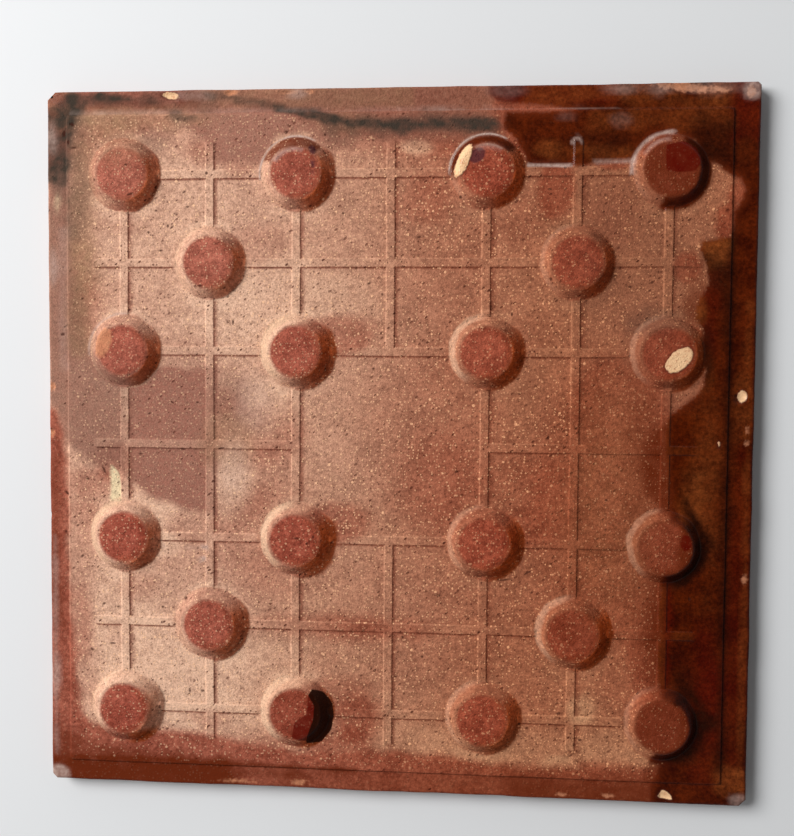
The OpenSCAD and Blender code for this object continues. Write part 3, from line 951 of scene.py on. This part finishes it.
def add_object(name, data):
    added = bpy.data.objects.new(name, data)
    bpy.context.collection.objects.link(added)
    return added


class Skin:
    """Points, normals and paint of the whole surface, with its triangles."""

    def __init__(self):
        self.points = []
        self.normals = []
        self.paints = []
        self.faces = []
        self.count = 0

    def add(self, points, normals, paints):
        """Adds a set of points and returns their numbers."""
        self.points.append(points)
        self.normals.append(normals)
        self.paints.append(paints)
        first = self.count
        self.count += len(points)
        return list(range(first, self.count))

    def join(self, upper, lower):
        """Triangles between two loops of as many points."""
        for i in range(len(upper)):
            j = (i + 1) % len(upper)
            self.faces.append((upper[i], lower[i], lower[j]))
            self.faces.append((upper[i], lower[j], upper[j]))

    def mesh(self, name):
        mesh = bpy.data.meshes.new(name)
        mesh.from_pydata((np.concatenate(self.points) * MM).tolist(), [], self.faces)
        mesh.polygons.foreach_set("use_smooth", [True] * len(mesh.polygons))
        mesh.normals_split_custom_set_from_vertices(np.concatenate(self.normals).tolist())
        for paint_name in self.paints[0]:
            values = np.concatenate([paint[paint_name] for paint in self.paints])
            own = mesh.attributes.new(paint_name, "FLOAT", "POINT")
            own.data.foreach_set("value", values.astype(np.float32))
        mesh.update()
        return mesh


def side_paint(rim_paint, down, x, y):
    """Values on the side: the edge's own fade downwards, and the face's glaze comes up."""
    values = {name: value * np.clip(1 - down, 0, 1) for name, value in rim_paint.items()}
    lip = down + 0.2 * cloud(x, y, 9, 401) + 0.08 * cloud(x, y, 2, 405)
    for name in CRISP:
        values[name] = rim_paint[name] - CRISP_REACH * down
    from_face = 2 * CRISP_REACH * smooth(0.55, 1.15, lip) - CRISP_REACH
    values["glaze"] = np.maximum(rim_paint["glaze"] - 2.5 * down, from_face)
    values["amber"] = values["amber"] + 0.3 * smooth(0.5, 1.0, lip)
    return values


def face_paint(names, x, y):
    """Values on the glazed face: glaze all over, a little uneven."""
    values = {name: np.full_like(x, -CRISP_REACH if name in CRISP else 0.0) for name in names}
    values["glaze"] = np.full_like(x, CRISP_REACH)
    values["amber"] = 0.3 + 0.25 * cloud(x, y, 30, 411)
    return values


def add_laying_side(skin):
    """Returns the numbers of the points along the outline, and their places in the plan."""
    plan = Plan()
    plan_rim(plan)
    plan_studs(plan)
    plan_ribs(plan)
    plan_marks(plan)
    plan_field(plan)
    xy, faces, went = plan.triangulate()
    points, normals = surface_normals(xy[:, 0], xy[:, 1])
    skin.add(points, normals, paint(points[:, 0], points[:, 1], normals))
    skin.faces += faces
    rim_count = len(outline(0))
    return [went[i] for i in range(rim_count)], np.array(plan.points[:rim_count])


def outward_of(nominal):
    """Unit vectors out of a counter-clockwise loop."""
    along = nominal - np.roll(nominal, 1, 0)
    along = along + np.roll(along, -1, 0)
    outward = np.stack([along[:, 1], -along[:, 0]], 1)
    return outward / np.linalg.norm(outward, axis=1)[:, None]


def add_sides(skin, rim, nominal):
    """From the worn upper edge down and round the arris of the glazed face; returns the last loop."""
    edge = skin.points[0][rim]
    x, y = edge[:, 0], edge[:, 1]
    rim_paint = {name: value[rim] for name, value in skin.paints[0].items()}
    outward = outward_of(nominal)
    level = np.zeros(len(rim))
    loops = [rim]
    for down in SIDE_LOOPS:
        z = edge[:, 2] + (FACE_ROUND - edge[:, 2]) * down
        rough = 0.10 * cloud(nominal[:, 0] + z * 3, nominal[:, 1] - z * 2, 4, 71)
        points = np.column_stack([edge[:, :2] + outward * rough[:, None] * math.sin(math.pi * down), z])
        normals = np.column_stack([outward, level])
        loops.append(skin.add(points, normals, side_paint(rim_paint, down, x, y)))
    for angle in ARRIS_LOOPS:
        c, s = heading(angle)
        z = level + FACE_ROUND * (1 - s)
        points = np.column_stack([edge[:, :2] - outward * FACE_ROUND * (1 - c), z])
        normals = np.column_stack([outward * c, level - s])
        loops.append(skin.add(points, normals, side_paint(rim_paint, 1 + 0.3 * s, x, y)))
    for upper, lower in zip(loops, loops[1:]):
        skin.join(upper, lower)
    return loops[-1]


def add_glazed_face(skin, foot):
    plan = Plan()
    plan.chain([tuple(p) for p in skin.points[-1][:, :2]], closed=True)
    steps = spread(FACE_INSET - HALF, HALF - FACE_INSET, FACE_STEPS)
    plan.points += [(x, y) for x in steps for y in steps]
    xy, faces, went = plan.triangulate()
    number = {went[i]: foot[i] for i in range(len(foot))}
    inner = [i for i in range(len(xy)) if i not in number]
    x, y = xy[inner, 0], xy[inner, 1]
    points = np.column_stack([x, y, 0.03 + 0.03 * cloud(x, y, 25, 81)])
    normals = np.tile((0.0, 0.0, -1.0), (len(inner), 1))
    number.update(zip(inner, skin.add(points, normals, face_paint(skin.paints[0], x, y))))
    skin.faces += [tuple(number[i] for i in reversed(face)) for face in faces]


def build_tile():
    skin = Skin()
    rim, nominal = add_laying_side(skin)
    foot = add_sides(skin, rim, nominal)
    add_glazed_face(skin, foot)
    tile = add_object("clay_tile", skin.mesh("clay_tile"))
    print("tile:", len(tile.data.vertices), "points", len(tile.data.polygons), "triangles")
    return tile


# ---- Materials ----

def colour(*screen):
    """A colour for a node socket, from screen values of 0 to 255."""
    values = [value / 255 for value in screen]
    return (*[v / 12.92 if v <= 0.04045 else ((v + 0.055) / 1.055) ** 2.4 for v in values], 1.0)


CLAY_DEEP = colour(138, 70, 53)
CLAY_PALE = colour(168, 95, 75)
CREAM_AND_LIGHT = colour(212, 172, 142)
WASH_PALE = colour(227, 183, 155)
MAUVE_CLAY = colour(153, 100, 84)
OLIVE_CLAY = colour(160, 122, 92)
OCHRE_CLAY = colour(204, 136, 100)
GROG = colour(252, 200, 160)
GROG_WARM = colour(242, 168, 122)
PIT = colour(84, 36, 26)
SOOT = colour(66, 56, 48)
THIN_GLAZE = colour(104, 39, 15)
GLAZE_DEEP = colour(52, 9, 1)
GLAZE_BROWN = colour(87, 28, 4)
GLAZE_AMBER = colour(138, 70, 30)
GLAZE_BLACK = colour(34, 10, 3)
GLAZE_RED = colour(92, 12, 4)
SHARD = colour(244, 198, 152)
PURPLE_STAIN = colour(74, 38, 46)
CRUST_AND_HIGHLIGHT_GREY = colour(196, 168, 156)
YELLOW_STAIN = colour(228, 204, 164)
DARK_MARK = colour(62, 28, 20)

# factors on red, green and blue
WARM_TINT = (0.92, 0.79, 0.60, 1)
# the deep red look of painted shade in the crescents behind the studs
SHADE_TINT = (1.5, 1.0, 0.42, 1)
TOP_TINT = (1.06, 0.9, 0.92, 1)


def plug(value, socket):
    """Links a wire to a socket, or sets the socket to a number or colour."""
    if isinstance(value, Wire):
        socket.id_data.links.new(value.socket, socket)
    else:
        socket.default_value = value


def add_node(tree, kind, inputs, output=0, **settings):
    """A new node with its settings and inputs, as the wire from one of its outputs."""
    node = tree.nodes.new("ShaderNode" + kind)
    for name, value in settings.items():
        setattr(node, name, value)
    for name, value in inputs.items():
        plug(value, node.inputs[name])
    return Wire(node.outputs[output])


class Wire:
    """A node's output, that can be used in sums and products with numbers and other outputs."""

    def __init__(self, socket):
        self.socket = socket

    def twin(self, output):
        """Another output of the same node."""
        return Wire(self.socket.node.outputs[output])

    def math(self, operation, other, clamp=False):
        inputs = {0: self, 1: other}
        return add_node(self.socket.id_data, "Math", inputs, operation=operation, use_clamp=clamp)

    def __add__(self, other):
        return self.math("ADD", other)

    def __sub__(self, other):
        return self.math("SUBTRACT", other)

    def __mul__(self, other):
        return self.math("MULTIPLY", other)

    def __rsub__(self, other):
        return (self * -1) + other

    __radd__ = __add__
    __rmul__ = __mul__

    def clamp(self):
        return self.math("ADD", 0.0, clamp=True)

    def most(self, other):
        return self.math("MAXIMUM", other)


class Surface:
    """The nodes of one material, in the object's millimetres."""

    def __init__(self, name):
        self.material = bpy.data.materials.new(name)
        self.material.use_nodes = True
        self.shader = self.material.node_tree.nodes["Principled BSDF"]
        metres = self.node("TexCoord", {}, "Object")
        self.place = self.node("VectorMath", {0: metres, "Scale": 1 / MM}, operation="SCALE")

    def node(self, kind, inputs, output=0, **settings):
        return add_node(self.material.node_tree, kind, inputs, output, **settings)

    def read(self, name):
        """A value from paint()."""
        return self.node("Attribute", {}, "Fac", attribute_name=name)

    def moved(self, shift, turn=0, stretch=(1, 1, 1)):
        inputs = {"Vector": self.place, "Location": (shift, shift * 0.7, shift * 0.3),
                  "Rotation": (0, 0, math.radians(turn)), "Scale": stretch}
        return self.node("Mapping", inputs, vector_type="TEXTURE")

    def cloud(self, size, shift, detail=2, rough=0.5):
        """Noise from about -1 to 1."""
        inputs = {"Vector": self.moved(shift), "Scale": 1 / size, "Detail": detail, "Roughness": rough}
        return self.node("TexNoise", inputs, "Fac") * 2 - 1

    def specks(self, size, radius, share, ragged, shift, turn=0, stretch=(1, 1, 1)):
        """From 0.2 to 1 inside scattered specks, 0 elsewhere: one to a cell, in a share of the cells."""
        inputs = {"Vector": self.moved(shift, turn, stretch), "Scale": 1 / size}
        near = self.node("TexVoronoi", inputs, "Distance")
        split = self.node("SeparateColor", {0: near.twin("Color")})
        chance, width, strength = [split.twin(k) for k in range(3)]
        edge = radius * (width * 0.9 + 0.3)
        inside = self.between(0.0, 0.12, edge - near * size + ragged * 0.16)
        return inside * (strength * 0.8 + 0.2) * chance.math("LESS_THAN", share)

    def between(self, edge0, edge1, value):
        """0 at the first edge, 1 at the second, and smooth in between."""
        inputs = {"Value": value, "From Min": edge0, "From Max": edge1}
        return self.node("MapRange", inputs, "Result", interpolation_type="SMOOTHSTEP")

    def mix(self, factor, base, top, blend="MIX"):
        inputs = {"Factor": factor, "A": base, "B": top}
        return self.node("Mix", inputs, "Result", data_type="RGBA", blend_type=blend)

    def stain(self, base, name, uneven, top):
        """A soft stain, as strong as paint() says and broken up by noise."""
        return self.mix((self.read(name) * uneven).clamp(), base, top)

    def tint(self, base, name, tint):
        """A colour multiplied by another, as far as paint() says."""
        return self.mix(self.read(name), base, tint, "MULTIPLY")

    def shade(self, base, amount):
        """A colour made lighter or darker by a factor."""
        vector = base if isinstance(base, Wire) else base[:3]
        return self.node("VectorMath", {0: vector, "Scale": amount}, operation="SCALE")

    def finish(self, base, roughness, gloss, height):
        """Clay with hardly any shine under a clear glassy layer, with bumps in millimetres."""
        normal = self.node("Bump", {"Strength": 1.0, "Distance": MM, "Height": height})
        inputs = {"Base Color": base, "Roughness": roughness, "Specular IOR Level": 0.03,
                  "Coat Weight": gloss, "Coat Roughness": 0.16, "Normal": normal}
        for name, value in inputs.items():
            plug(value, self.shader.inputs[name])
        return self.material


class FiredClay(Surface):
    """The tile's clay: each layer takes the colour so far and returns it with more on top."""

    def __init__(self):
        super().__init__("fired_clay")
        self.grain = self.cloud(0.5, 3.0, rough=0.7)
        self.fine = self.cloud(1.1, 17.0)
        self.patchy = self.cloud(2.6, 29.0)
        self.blotch = self.cloud(6.0, 11.0, detail=4)
        self.grog = self.specks(0.75, 0.30, 0.74, self.grain, 41.0).most(
            self.specks(1.7, 0.40, 0.45, self.grain, 43.0))
        self.pits = self.specks(1.5, 0.36, 0.66, self.grain, 47.0, turn=35, stretch=(1.5, 0.8, 1)).most(
            self.specks(1.05, 0.29, 0.44, self.grain, 53.0) * 0.9 * self.read("grit"))

    def body(self):
        """Red clay, tinted deeper red in the painted shade of the crescents, under a pale wash that its
        grain breaks up.
        """
        clay = self.mix(self.between(-0.5, 0.5, self.blotch + 0.6 * self.fine), CLAY_DEEP, CLAY_PALE)
        # painted shade: the clay looks deeper red in the crescents behind the studs
        clay = self.tint(clay, "shade_crescent", SHADE_TINT)
        uneven = 1 + 0.28 * self.blotch + 0.24 * self.patchy + 0.2 * self.fine + 0.26 * self.grain
        return self.stain(clay, "wash_and_light", uneven, WASH_PALE)

    def firing(self, base):
        """Stains of the firing, pits, painted shade of the crescents, cream and painted light on the
        studs, grain and smoke.
        """
        base = self.stain(base, "mauve", 0.95 + 0.45 * self.fine, MAUVE_CLAY)
        yellow = self.between(0.0, 1.0, self.read("yellow") + 0.15 * self.fine)
        base = self.mix(yellow, base, YELLOW_STAIN)
        base = self.mix(self.pits * (0.9 - 0.6 * self.read("top")), base, PIT)
        base = self.stain(base, "olive", 1 + 0.6 * self.patchy, OLIVE_CLAY)
        base = self.tint(self.tint(base, "warm", WARM_TINT), "top", TOP_TINT)
        # painted shade and shadow behind the studs and the ribs
        base = self.shade(base, 1 - self.read("shade_and_marks"))
        # cream on the lamp side of the studs, partly painted light
        uneven = (1 - 0.35 * self.read("warm")) * (1 + 0.3 * self.fine)
        base = self.stain(base, "cream_and_light", uneven, CREAM_AND_LIGHT)
        grain = (0.54 + 0.2 * self.read("top")) * self.grain
        base = self.shade(base, 1 + grain + 0.34 * self.fine + 0.12 * self.patchy)
        return self.stain(base, "smoke", 1 + 0.5 * self.patchy, SOOT)

    def grains(self, base, thin):
        """The thin glaze that only stains, and pale grains that show through it."""
        base = self.mix(thin, base, THIN_GLAZE)
        shown = 1 - 0.45 * self.read("top") - 0.4 * thin - 0.55 * self.read("mauve")
        # grains show less in the painted shade of the crescents
        shown = shown * (1 - 0.6 * self.read("shade_crescent"))
        grog = self.mix(self.read("warm"), GROG, GROG_WARM)
        return self.mix(self.grog * self.read("grit") * shown, base, grog)

    def glaze(self, edge):
        """The thick glossy glaze, lighter where it runs out."""
        glaze = self.mix(self.between(-0.5, 0.5, self.blotch + 0.3 * self.fine), GLAZE_DEEP, GLAZE_BROWN)
        glaze = self.mix(self.between(2.6, 0.2, edge + self.patchy) * 0.6, glaze, THIN_GLAZE)
        glaze = self.stain(glaze, "red", 1 + 0.4 * self.patchy, GLAZE_RED)
        glaze = self.stain(glaze, "amber", 1 + 0.8 * self.patchy + 0.4 * self.fine, GLAZE_AMBER)
        glaze = self.stain(glaze, "black", 1 + 0.4 * self.patchy, GLAZE_BLACK)
        return self.shade(glaze, 1 + 0.7 * self.grain + 0.5 * self.fine)

    def drips(self, base, red, black):
        base = self.mix((red * (0.82 + 0.3 * self.patchy)).clamp(), base, GLAZE_RED)
        base = self.mix(black * 0.97, base, GLAZE_BLACK)
        purple = self.between(-0.3, 0.4, self.read("purple") + 0.3 * self.fine)
        return self.mix(purple * 0.8, base, PURPLE_STAIN)

    def breaks(self, base, cream, mark):
        """Ochre flakes, pale broken places with a dark border, crust with painted highlights, and dark
        marks.
        """
        ochre = self.shade(OCHRE_CLAY, 1 + 0.3 * self.fine + 0.4 * self.grain)
        flake = self.between(-0.4, 0.5, self.read("ochre") + 0.6 * self.fine)
        base = self.mix(flake * (0.8 + 0.3 * self.patchy), base, ochre)
        border = self.between(-0.6, -0.1, self.read("cream") + 0.4 * self.fine)
        base = self.mix(border * 0.5, base, PIT)
        speckled = self.between(0.0, 0.5, self.fine + 0.3 * self.grain) * 0.7
        base = self.mix(cream, base, self.mix(speckled, SHARD, OCHRE_CLAY))
        # pale crust, with painted highlights on studs, a rib and the step
        base = self.stain(base, "crust_and_highlights", 1 + 0.8 * self.fine, CRUST_AND_HIGHLIGHT_GREY)
        return self.mix(mark * 0.8, base, DARK_MARK)

    def build(self):
        thin = (self.read("thin") * (1.12 + 0.35 * self.patchy)).clamp()
        edge = self.read("glaze") + 0.9 * self.fine + 0.5 * self.grain
        glazed = self.between(-0.7, 0.8, edge)
        red = self.between(-0.2, 0.3, self.read("dark_red") + 0.3 * self.fine)
        black = self.between(-0.15, 0.2, self.read("gloss") + 0.2 * self.fine)
        cream = self.between(-0.15, 0.2, self.read("cream") + 0.4 * self.fine)
        crust_and_highlights = (self.read("crust_and_highlights") * (1 + 0.8 * self.fine)).clamp()
        mark = self.between(0.35, 0.9, self.read("mark") + 0.4 * self.grain)

        base = self.grains(self.firing(self.body()), thin)
        base = self.mix(glazed * 0.98, base, self.glaze(edge))
        base = self.breaks(self.drips(base, red, black), cream, mark)
        shiny = glazed.most(black).most(red * 0.8)
        height = (1 - shiny * 0.75) * (0.10 * self.grain + 0.06 * self.grog - 0.14 * self.pits)
        height = height + 0.08 * glazed + 0.12 * cream + 0.08 * crust_and_highlights - 0.12 * mark
        gloss = ((shiny + 0.35 * thin) * (0.5 - 0.45 * self.read("steep"))).clamp()
        roughness = (0.9 - shiny * 0.7 - thin * 0.2 + 0.1 * self.fine).clamp()
        return self.finish(base, roughness, gloss, height)


# ---- Stage, light and camera ----

# the soft lamp: direction in degrees, distance and width in metres, power in watts
KEY_AZIMUTH = 152
KEY_ELEVATION = 43
KEY_DISTANCE = 1.05
KEY_WIDTH = 0.65
KEY_POWER = 12.4

# light from the pale room: its strength at the horizon, and how much more on the lamp's side
ROOM_AT_HORIZON = 0.64
WINDOW_SIDE = 0.42

# the camera: place and target from the middle of the tile, at the level of its worn edge; lens and roll
WORN_EDGE = 0.5
CAMERA_PLACE = (0.0303, 0.0236, 0.3181)
CAMERA_TARGET = (0.0014, 0.0076, 0)
CAMERA_LENS = 48.66
CAMERA_ROLL = 0.4

FLOOR_HALF = 2.0
FLOOR_GREY = (0.78, 0.79, 0.80, 1)


def build_floor():
    mesh = bpy.data.meshes.new("floor")
    corners = [(sx * FLOOR_HALF, sy * FLOOR_HALF, 0) for sx, sy in ((-1, -1), (1, -1), (1, 1), (-1, 1))]
    mesh.from_pydata(corners, [], [(0, 1, 2, 3)])
    floor = add_object("floor", mesh)
    material = bpy.data.materials.new("pale_floor")
    material.use_nodes = True
    shader = material.node_tree.nodes["Principled BSDF"]
    plug(FLOOR_GREY, shader.inputs["Base Color"])
    plug(0.9, shader.inputs["Roughness"])
    floor.data.materials.append(material)
    return floor


def aim(obj, target, roll=0):
    """Turns a lamp or camera towards target, with the top of its picture towards +Y."""
    forward = (Vector(target) - obj.location).normalized()
    right = forward.cross(Vector((0, 1, 0))).normalized()
    up = right.cross(forward)
    turn = Matrix((right, up, -forward)).transposed()
    obj.rotation_euler = (turn @ Matrix.Rotation(math.radians(roll), 3, "Z")).to_euler()


def build_lamp():
    """A soft window to the left."""
    data = bpy.data.lights.new("key", "AREA")
    data.shape = "DISK"
    data.size = KEY_WIDTH
    data.energy = KEY_POWER
    lamp = add_object("key", data)
    x, y = heading(KEY_AZIMUTH)
    out, up = heading(KEY_ELEVATION)
    lamp.location = Vector((out * x, out * y, up)) * KEY_DISTANCE
    aim(lamp, (0, 0, 0))


def build_room():
    """Light from a pale room that is darker overhead and away from the window."""
    world = bpy.data.worlds.new("soft_room")
    world.use_nodes = True
    direction = add_node(world.node_tree, "TexCoord", {}, "Generated")
    split = add_node(world.node_tree, "SeparateXYZ", {0: direction})
    x, y, z = [split.twin(k) for k in range(3)]
    window_x, window_y = heading(KEY_AZIMUTH)
    towards_window = x * window_x + y * window_y
    level = (1 - z.most(0.0)) * (towards_window * WINDOW_SIDE + ROOM_AT_HORIZON)
    background = world.node_tree.nodes["Background"]
    plug((1, 1, 1, 1), background.inputs["Color"])
    plug(level, background.inputs["Strength"])
    bpy.context.scene.world = world


def build_camera():
    data = bpy.data.cameras.new("camera")
    data.lens = CAMERA_LENS
    camera = add_object("camera", data)
    middle = Vector((0, 0, (RIM - WORN_EDGE) * MM))
    camera.location = Vector(CAMERA_PLACE) + middle
    aim(camera, Vector(CAMERA_TARGET) + middle, CAMERA_ROLL)
    bpy.context.scene.camera = camera


tile = build_tile()
tile.data.materials.append(FiredClay().build())
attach(tile, "root")
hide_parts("tile")
build_floor()
build_lamp()
build_room()
build_camera()
bpy.context.scene.view_settings.view_transform = "Standard"
